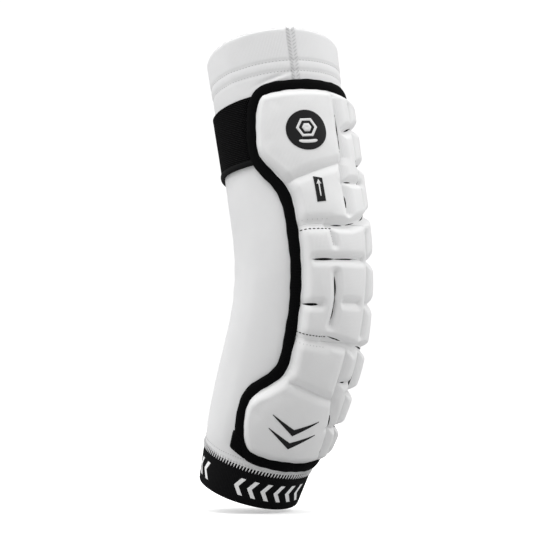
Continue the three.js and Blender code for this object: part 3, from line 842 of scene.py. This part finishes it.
CLOTH = {
    "mass": 0.1,
    "vertex_group_mass": "held",
    "tension_stiffness": 6,
    "compression_stiffness": 6,
    "shear_stiffness": 3,
    "bending_stiffness": 0.05,
    "use_pressure": True,
    "uniform_pressure_force": 150,
}


def simulate_swelling(steps=16, least=-0.4, most=1.1):
    """Blows the cover up as cloth, held at its edge and grooves, and returns how far it rose."""
    turns, alongs, _ = SWELLING
    turn, along = np.meshgrid(turns, alongs)
    level = guard_height(turn, along)
    start = place(turn, along, level).reshape(-1, 3)
    faces, _ = lattice(len(alongs), len(turns), False, False)
    mesh = bpy.data.meshes.new("cover_cloth")
    mesh.from_pydata(start.tolist(), [], faces.tolist())
    cloth = linked("cover_cloth", mesh)
    outward = place(turn, along, level + 1).reshape(-1, 3) - start
    outward /= np.linalg.norm(outward, axis=1, keepdims=True)
    middle = mesh.polygons[len(mesh.polygons) // 2]
    if middle.normal.dot(Vector(outward[middle.vertices[0]])) < 0:
        mesh.flip_normals()
    groove = np.full(turn.shape, np.inf)
    for path, _, half in GROOVES + FOLD_LINES:
        groove = np.minimum(groove, distance_to(path, turn, along) / half)
    rim_away = distance_to(GUARD_RIM, turn, along)
    free = within(GUARD_RIM, turn, along) & (rim_away > 1.5) & (groove > 0.55)
    held = cloth.vertex_groups.new(name="held")
    held.add(np.flatnonzero(~free.ravel()).tolist(), 1.0, "REPLACE")
    modifier = cloth.modifiers.new("Cloth", "CLOTH")
    settings = modifier.settings
    for name, value in CLOTH.items():
        setattr(settings, name, value)
    settings.effector_weights.gravity = 0
    modifier.collision_settings.use_collision = False
    modifier.point_cache.frame_start = 1
    modifier.point_cache.frame_end = steps
    for step in range(1, steps + 1):
        bpy.context.scene.frame_set(step)
    moved = cloth.evaluated_get(bpy.context.evaluated_depsgraph_get()).to_mesh()
    end = np.zeros(len(moved.vertices) * 3)
    moved.vertices.foreach_get("co", end)
    rise = np.einsum("ij,ij->i", end.reshape(-1, 3) - start, outward).reshape(turn.shape) * 1000
    bpy.data.objects.remove(cloth)
    bpy.data.meshes.remove(mesh)
    bpy.context.scene.frame_set(1)
    rise = np.clip(rise, least, most)
    rows, columns = rise.shape
    around = [(i, j) for i in range(3) for j in range(3)]
    calm = rise.copy()
    calm[1:-1, 1:-1] = sum(rise[i : rows - 2 + i, j : columns - 2 + j] for i, j in around) / 9
    return turns, alongs, calm


def cover_panel(name, from_along, to_along, nodes):
    step = 0.58
    rows = round((to_along - from_along) / step) + 1
    columns = 165
    under = TAPE_REACH / PER_DEGREE
    along = np.linspace(from_along, to_along, rows)[:, None]
    low = ramp(INNER_EDGE, along) - under
    high = ramp(OUTER_EDGE, along) + under
    turn = low + (high - low) * np.linspace(0, 1, columns)[None, :]
    along = np.broadcast_to(along, turn.shape)
    piece = plate(name, turn, along, 0.7, guard_height(turn, along), PER_DEGREE, WHITE_COVER)
    follow_elbow(piece, "foam_cover", *nodes)


def blocks(kind, numbers):
    return [f"{kind}_block_{number}" for number in numbers]


def build_cover():
    strips = ["fold_strip_upper", "fold_strip_lower"]
    panels = (
        ("upper", GUARD_TOP - TAPE_REACH, UPPER_FOLD, ["wing_block_upper", "label_block"], (1, 2, 3)),
        ("elbow", UPPER_FOLD, LOWER_FOLD, strips + blocks("outer", (1, 2, 3)), (4, 5, 6)),
        ("forearm", LOWER_FOLD, GUARD_BOTTOM + TAPE_REACH, ["tall_block", "wing_block_lower"], (7, 8, 9)),
    )
    for name, start, end, own, numbers in panels:
        nodes = [f"backing_{name}"] + own + blocks("ridge", numbers) + blocks("inner", numbers)
        cover_panel(f"guard_cover_{name}", start, end, nodes)


def build_groove_shades():
    """Black lens-shaped plates over the bottom of the grooves: painted shade."""
    for number, (*ends, width) in enumerate(GROOVE_SHADES):
        a, b = np.array(ends).reshape(2, 2) * (PER_DEGREE, 1)
        run = (b - a) / np.linalg.norm(b - a)
        share = np.linspace(0, 1, 29)[:, None]
        half = GROOVE_SHADE_SHARE * width / 2 * (1 - (2 * share - 1) ** 2) + 0.03
        across = np.linspace(-1, 1, 5)[None, :]
        u = a[0] + share * (b - a)[0] - run[1] * half * across
        v = a[1] + share * (b - a)[1] + run[0] * half * across
        turn = u / PER_DEGREE
        edge = np.minimum(guard_height(turn[:, :1], v[:, :1]), guard_height(turn[:, -1:], v[:, -1:]))
        top = np.maximum(edge, guard_height(turn, v)) + 0.06
        name = f"groove_shade_plate_{number + 1}"
        piece = plate(name, turn, v, top - 0.5, top, PER_DEGREE, GROOVE_SHADE_BLACK)
        follow_elbow(piece, "guard_cover")


def fold_stitches():
    """Rows of stitches along the flat part of the two fold lines."""
    dashes = stitch_row(19.5, 43, 3.0, 2.0, -31.2) + stitch_row(19, 42.5, 2.3, 1.6, 25.6)
    piece = stitches("fold_dash_stitches", dashes, guard_height, 0.33, BLACK_THREAD, 0.12)
    follow_elbow(piece, "guard_cover")
    # Grey thread: painted shade on the white dot stitches.
    dots = stitch_row(22, 43, 3.6, 0.5, -36.4) + stitch_row(20, 42, 2.4, 0.5, 31.0)
    dots += [(20.2 - 0.2 * k, -30 + 1.4 * k, 20.1 - 0.2 * k, -29.5 + 1.4 * k) for k in range(6)]
    piece = stitches("fold_dot_stitches", dots, guard_height, 0.26, SHADED_STITCH_THREAD, 0.08)
    follow_elbow(piece, "guard_cover")


# ---- binding
def evenly(loop, step):
    """The same closed line with points every step millimetres."""
    closed = np.vstack([loop, loop[:1]])
    length = np.concatenate([[0], np.cumsum(np.hypot(*np.diff(closed, axis=0).T))])
    at = np.linspace(0, length[-1], round(length[-1] / step), endpoint=False)
    return np.stack([np.interp(at, length, closed[:, k]) for k in (0, 1)], -1)


def averaged(loop, reach):
    """Each point moved to the mean of its neighbours along a closed line."""
    return sum(np.roll(loop, k, axis=0) for k in range(-reach, reach + 1)) / (2 * reach + 1)


def outward_from(loop, reach, spread):
    """Unit vectors out of a closed line, square to its run over a few points either way."""
    ahead = averaged(np.roll(loop, -reach, axis=0) - np.roll(loop, reach, axis=0), spread)
    ahead /= np.linalg.norm(ahead, axis=1, keepdims=True)
    outward = np.stack([ahead[:, 1], -ahead[:, 0]], -1)
    return outward * np.sign((outward * (loop - loop.mean(axis=0))).sum())


def build_binding():
    step = 0.9
    loop = averaged(averaged(evenly(GUARD_LOOP * (TAPE_PER_DEGREE, 1), 1.0), 3), 3)
    loop = loop + outward_from(loop, 2, 3) * (TAPE_WIDTH / 2 + 0.2)
    loop = averaged(evenly(averaged(loop, 3), step), 3)
    outward = outward_from(loop, 1, 2)
    half = TAPE_WIDTH / 2
    section = [
        (-half, 1.2), (-half, 2.3), (-half + 0.35, 3.0), (-half + 1.1, 3.35), (-half + 2.4, TAPE_TOP),
        (0, TAPE_TOP + 0.1), (half - 2.4, TAPE_TOP - 0.1), (half - 1.1, 2.9), (half - 0.3, 2.2),
        (half, 1.2), (half - 0.2, 0.45), (-half + 0.2, 0.45),
    ]
    side, rise = np.array(section).T[:, None]
    spot = np.arange(len(loop))
    wobble = 0.04 * np.sin(spot / 4.7) + 0.03 * np.sin(spot / 1.9 + 1)
    side = side * (1 + wobble[:, None])
    turn = (loop[:, :1] + outward[:, :1] * side) / TAPE_PER_DEGREE
    along = loop[:, 1:] + outward[:, 1:] * side
    points = place(turn, along, rise + 0 * side)
    uv = np.zeros((len(loop) + 1, len(section) + 1, 2))
    uv[..., 0] = (np.arange(len(loop) + 1) * step)[:, None]
    past_middle = [-5.1, -4.5, -3.7, -2.9, -1.7, 0, 1.7, 3.0, 3.9, 4.7, 5.3, 10.1, 11.1]
    uv[..., 1] = np.array(past_middle)[None, :]
    tape = closed_ring("guard_binding", points, uv, BLACK_TAPE)
    nodes = [f"binding_{name}" for name in ("upper", "elbow_outer", "elbow_inner", "forearm")]
    follow_elbow(tape, "binding_tape", *nodes)


def patch(turns, alongs, columns, rows, margin):
    """A grid over a patch: turn, distance along, and 0 at its rim rising to 1 further in."""
    turn, along = np.meshgrid(np.linspace(*turns, columns), np.linspace(*alongs, rows))
    r, c = np.indices(turn.shape)
    beside = np.minimum(np.minimum(r, r[::-1]), np.minimum(c, c[:, ::-1]))
    return turn, along, 1 - (1 - np.clip(beside / margin, 0, 1)) ** 2


def build_end_tab():
    share, down, rounding = patch((0, 1), (0, 1), 24, 22, 3)
    turn = 75.4 - (10.9 + 6 * down) * (1 - share)
    along = 104 + (ramp([(58.5, 121), (75.4, 116.4)], turn) - 104) * down
    height = 1.6 + 2.5 * rounding
    height = height - 1.7 * smooth(71.5, 75.4, turn)
    tab = plate("binding_tab", turn, along, 0.5, height, 0.83, BLACK_TAPE)
    follow_elbow(tab, "binding_tape", "binding_end_tab")


# ---- strap
def strap_lines(level, tip):
    """Lengthwise lines of the strap, which narrows behind the arm and at its tip: how far each
    place is from the start, its turn, its distance along and the height of its underside."""
    start = ramp(OUTER_EDGE, level) + 4.5
    turn = start + (tip - start) * np.linspace(0, 1, 240)[None, :]
    rounded = 1 - 0.09 * smooth(STRAP_TIP - 9, STRAP_TIP, turn) ** 2
    down = (level - STRAP_TOP) / (STRAP_BOTTOM - STRAP_TOP)
    along = STRAP_MIDDLE + (level - STRAP_MIDDLE) * rounded
    along = along - bump_at(turn, 140, 45) * (0.6 + 2.9 * down)
    return turn - start, turn, along, ramp([(ANCHOR[0] - 13, 0.35), (ANCHOR[0] - 3, STRAP_LAP)], turn)


def build_strap():
    """One strap: from under the binding round the back of the arm to its free tip."""
    level = np.linspace(STRAP_TOP, STRAP_BOTTOM, 52)[:, None]
    run, turn, along, bottom = strap_lines(level, STRAP_TIP)
    beside = np.minimum(level - STRAP_TOP, STRAP_BOTTOM - level)
    rounding = 1 - (1 - np.clip(beside / 0.9, 0, 1)) ** 2
    tucked = smooth(0, 10, run)
    edges = 0.45 * bump_at(STRAP_BOTTOM - level, 1.7, 1.0) + 0.15 * bump_at(level - STRAP_TOP, 1.5, 0.9)
    seam_line = -0.35 * bump_at(STRAP_BOTTOM - level, 3.4, 0.45)
    thick = (0.5 + (STRAP_THICK - 0.5) * (0.45 + 0.55 * rounding) + edges + seam_line) * tucked
    soft = 0.25 * np.sin(turn / 9) * np.sin(along / 11)
    top = bottom + np.maximum(thick, 0.5) + soft * tucked
    strap = plate("closing_strap", turn, along, bottom, top, STRAP_PER_DEGREE, LOOP_PILE)
    follow_strap(strap, "strap_loop", "strap_band", "strap_free_end")
    across = np.linspace(0, 1, 9)[:, None]
    run, turn, along, bottom = strap_lines(STRAP_BOTTOM - 3.3 + 3.7 * across, STRAP_TIP - 1)
    bead = 0.35 + 0.35 * np.sin(np.pi * across)
    top = bottom + STRAP_THICK * np.minimum(1, smooth(0, 9, run) + 0.3) + bead
    edging = plate("strap_edge_tape", turn, along, bottom + 0.1, top, STRAP_PER_DEGREE, EDGE_TAPE)
    follow_strap(edging, "binding_tape")


def strap_stitches(name, body, turns, margin, radius, level):
    """Rows of stitches along the arm on a flat part of the strap, at a height."""
    alongs = np.arange(STRAP_TOP + margin, STRAP_BOTTOM - margin, 2.6)
    ends = [(turn, along, turn, along + 1.8) for turn in turns for along in alongs]

    def flat(turn, along):
        return level + 0 * turn * along

    fasten(stitches(name, ends, flat, radius, BLACK_THREAD, 0.1), body, "strap_loop")


def build_strap_parts():
    turn, along, rounding = patch(ANCHOR, (STRAP_TOP, STRAP_BOTTOM), 50, 50, 2)
    top = 0.9 + 1.25 * rounding
    anchor = plate("strap_anchor_pad", turn, along, 0.35, top, STRAP_PER_DEGREE, LOOP_PILE)
    fasten(anchor, "upper_arm", "strap_loop", "strap_anchor")
    turns, alongs = (ANCHOR[0] + 7, STRAP_TIP - 1.5), (STRAP_TOP + 2, STRAP_BOTTOM - 2)
    turn, along, rounding = patch(turns, alongs, 40, 46, 2)
    bottom = 2.75 - 0.15 * rounding + 0.12 * np.cos(turn * 2.9) * np.cos(along * 2.1)
    hook = plate("strap_hook_tape", turn, along, bottom, STRAP_LAP + 0.05, STRAP_PER_DEGREE, HOOKS)
    fasten(hook, "strap_tab", "hook_tape", "strap_hook_patch")
    tip_rows = (STRAP_TIP - 3.0, STRAP_TIP - 5.2)
    strap_stitches("strap_tip_stitches", "strap_tab", tip_rows, 3, 0.3, STRAP_LAP + STRAP_THICK)
    anchor_rows = (ANCHOR[0] + 2, ANCHOR[1] - 2.2)
    strap_stitches("strap_anchor_stitches", "upper_arm", anchor_rows, 2, 0.28, 2.15)


# ---- prints
def decal(name, x, y, centre, material, low, high, *nodes):
    """A thin plate on the cover. x and y are grids in millimetres round a centre."""
    x, y = np.broadcast_arrays(x, y)
    radius = profile(SLEEVE_PROFILE, centre[1]) + profile(CROWN_PROFILE, centre[1])
    turn = centre[0] + x / (math.radians(1) * float(radius))
    along = centre[1] + y
    level = guard_height(turn, along)
    top, bottom = place(turn, along, level + high), place(turn, along, level + low)
    follow_elbow(slab(name, top, bottom, np.stack([x, y], -1), material), "dark_print", *nodes)


def light_decal(name, x, y, centre):
    decal(name, x, y, centre, LIGHT_PRINT, 0.2, 0.5)


def disc_grid(radius, columns=48):
    """A square grid pressed into a disc."""
    x, y = np.meshgrid(np.linspace(-1, 1, columns), np.linspace(-1, 1, columns))
    reach = np.maximum(np.abs(x), np.abs(y))
    length = np.hypot(x, y)
    scale = np.where(length > 0, reach / np.maximum(length, 1e-9), 0)
    return radius * x * scale, radius * y * scale


def hexagon_band(outer, inner, steps=8):
    """A closed band between two hexagons as grids (its first and last columns meet)."""
    corners = np.radians(np.arange(7) * 60)
    at = np.arange(6 * steps + 1) / steps % 6
    radius = np.linspace(inner, outer, 3)[:, None]
    return [radius * np.interp(at, range(7), side) for side in (np.cos(corners), np.sin(corners))]


def build_prints():
    decal("badge_disc_print", *disc_grid(BADGE_RADIUS), BADGE, DARK_PRINT, -0.6, 0.35, "badge_disc")
    for name, outer, inner in (("ring", 7.6, 5.6), ("centre", 3.4, 0.02)):
        x, y = hexagon_band(outer, inner)
        light_decal(f"badge_{name}_print", x, y - EMBLEM_RISE, BADGE)
    x = np.linspace(-1, 1, 24)[None, :]
    y = np.linspace(-1.15, 1.15, 4)[:, None]
    light_decal("badge_bar_print", 6.6 * x, y * (1 - 0.75 * x**8) + 8.6 - 0.7 * x**2, BADGE)
    down = np.linspace(0, 1, 20)[:, None]
    across = np.linspace(-1, 1, 8)[None, :]
    top = -LABEL_HALF - 0.9 * across
    bottom = LABEL_HALF + 0.15 * across
    y = top + (bottom - top) * down
    decal("side_label_print", across * 3.1, y, SIDE_LABEL, DARK_PRINT, -0.6, 0.35, "side_label")
    light_decal("side_arrow_shaft", 0.45 * across, np.linspace(-4.2, 5.2, 8)[:, None], SIDE_LABEL)
    head = np.linspace(0, 1, 6)[:, None]
    light_decal("side_arrow_head", across * (0.05 + 1.7 * head), -7.2 + 3.4 * head, SIDE_LABEL)
    share = np.linspace(-1, 1, 41)[None, :]
    half = 0.22 + 2.2 * (1 - np.abs(share))
    y = -10.4 * np.abs(share) + half * np.linspace(-1, 1, 5)[:, None]
    for name, along in CHEVRON_PRINTS:
        centre = (CHEVRON_TURN, along)
        piece = f"chevron_{name}_print"
        decal(piece, -share * 17.2, y, centre, DARK_PRINT, -0.5, 0.3, f"chevron_{name}")


# ---- stage
def direction(azimuth, elevation):
    """The unit vector from the object towards a place round it. Azimuth 0 is the -Y side."""
    a, e = math.radians(azimuth), math.radians(elevation)
    return Vector((math.sin(a) * math.cos(e), -math.cos(a) * math.cos(e), math.sin(e)))


def build_floor():
    finish = Finish("floor_look", 0.9, 0.05)
    seen = finish.add("ShaderNodeLightPath").outputs["Is Camera Ray"]
    finish.colour((FLOOR_BOUNCE, FLOOR_BOUNCE, FLOOR_BOUNCE), (0.94, 0.94, 0.94), seen)
    finish.shader.inputs["Emission Color"].default_value = (1, 1, 1, 1)
    finish.join(finish.times(seen, FLOOR_GLOW), finish.shader.inputs["Emission Strength"])
    bpy.ops.mesh.primitive_plane_add(size=6, location=(0, 0, FLOOR_LEVEL))
    floor = bpy.context.object
    floor.name = "floor"
    floor.data.uv_layers[0].name = "fabric"
    floor.data.materials.append(finish.material)


def build_world():
    """A white studio: bright at the sides and above, softer from the front, seen as plain white."""
    world = bpy.data.worlds.new("studio")
    bpy.context.scene.world = world
    world.use_nodes = True
    nodes = Nodes(world.node_tree)

    def ranged(value, *limits):
        node = nodes.add("ShaderNodeMapRange", interpolation_type="SMOOTHSTEP")
        nodes.join(value, node.inputs["Value"])
        for key, number in zip(("From Min", "From Max", "To Min", "To Max"), limits):
            node.inputs[key].default_value = number
        return node.outputs["Result"]

    around = nodes.add("ShaderNodeTexCoord").outputs["Generated"]
    facing = nodes.add("ShaderNodeVectorMath", operation="DOT_PRODUCT")
    facing.inputs[1].default_value = direction(*FRONT)
    nodes.join(around, facing.inputs[0])
    split = nodes.add("ShaderNodeSeparateXYZ")
    nodes.join(around, split.inputs[0])
    either_way = nodes.math("ABSOLUTE", facing.outputs["Value"])
    sides = ranged(either_way, 0.1, 0.85, SIDE_LIGHT, FRONT_LIGHT)
    above = ranged(split.outputs["Z"], -0.3, 0.7, 0.5, TOP_GAIN)
    strength = nodes.add("ShaderNodeMix")
    nodes.join(nodes.add("ShaderNodeLightPath").outputs["Is Camera Ray"], strength.inputs[0])
    nodes.join(nodes.times(sides, above), strength.inputs[2])
    strength.inputs[3].default_value = SEEN_WHITE
    background = nodes.tree.nodes["Background"]
    background.inputs["Color"].default_value = (1, 1, 1, 1)
    nodes.join(strength.outputs[0], background.inputs["Strength"])
    bpy.context.scene.view_settings.view_transform = "Standard"


def soft_box(name, azimuth, elevation, distance, size, power):
    """A square light that faces the object."""
    light = bpy.data.lights.new(name, "AREA")
    light.shape = "SQUARE"
    light.size = size
    light.energy = power
    lamp = linked(name, light)
    back = direction(azimuth, elevation)
    lamp.location = back * distance
    lamp.rotation_euler = back.to_track_quat("Z", "Y").to_euler()


def build_lights():
    soft_box("left_box", -60, 25, 1.2, 0.4, 0.8)
    soft_box("right_box", 145, 25, 1.2, 0.4, 1.0)
    soft_box("top_box", 20, 62, 1.2, 0.35, 2.2)


def build_camera():
    back = direction(*CAMERA_AT)
    azimuth = math.radians(CAMERA_AT[0])
    right = Vector((math.cos(azimuth), math.sin(azimuth), 0))
    turned = Matrix((right, back.cross(right), back)).transposed().to_4x4()
    lens = bpy.data.cameras.new("camera")
    lens.lens = 100
    lens.sensor_width = 36
    lens.shift_x, lens.shift_y = CAMERA_SHIFT
    camera = linked("camera", lens)
    camera.matrix_world = Matrix.Translation(back * CAMERA_DISTANCE) @ turned
    bpy.context.scene.camera = camera


sleeve_piece = build_sleeve()
trim = [hem_stitches(), flatlock_seam()]
build_gripper()
build_cuff()
overlock_join()
SWELLING = simulate_swelling()
build_cover()
build_groove_shades()
fold_stitches()
build_binding()
build_end_tab()
build_strap()
build_strap_parts()
build_prints()
build_floor()
build_world()
build_lights()
build_camera()
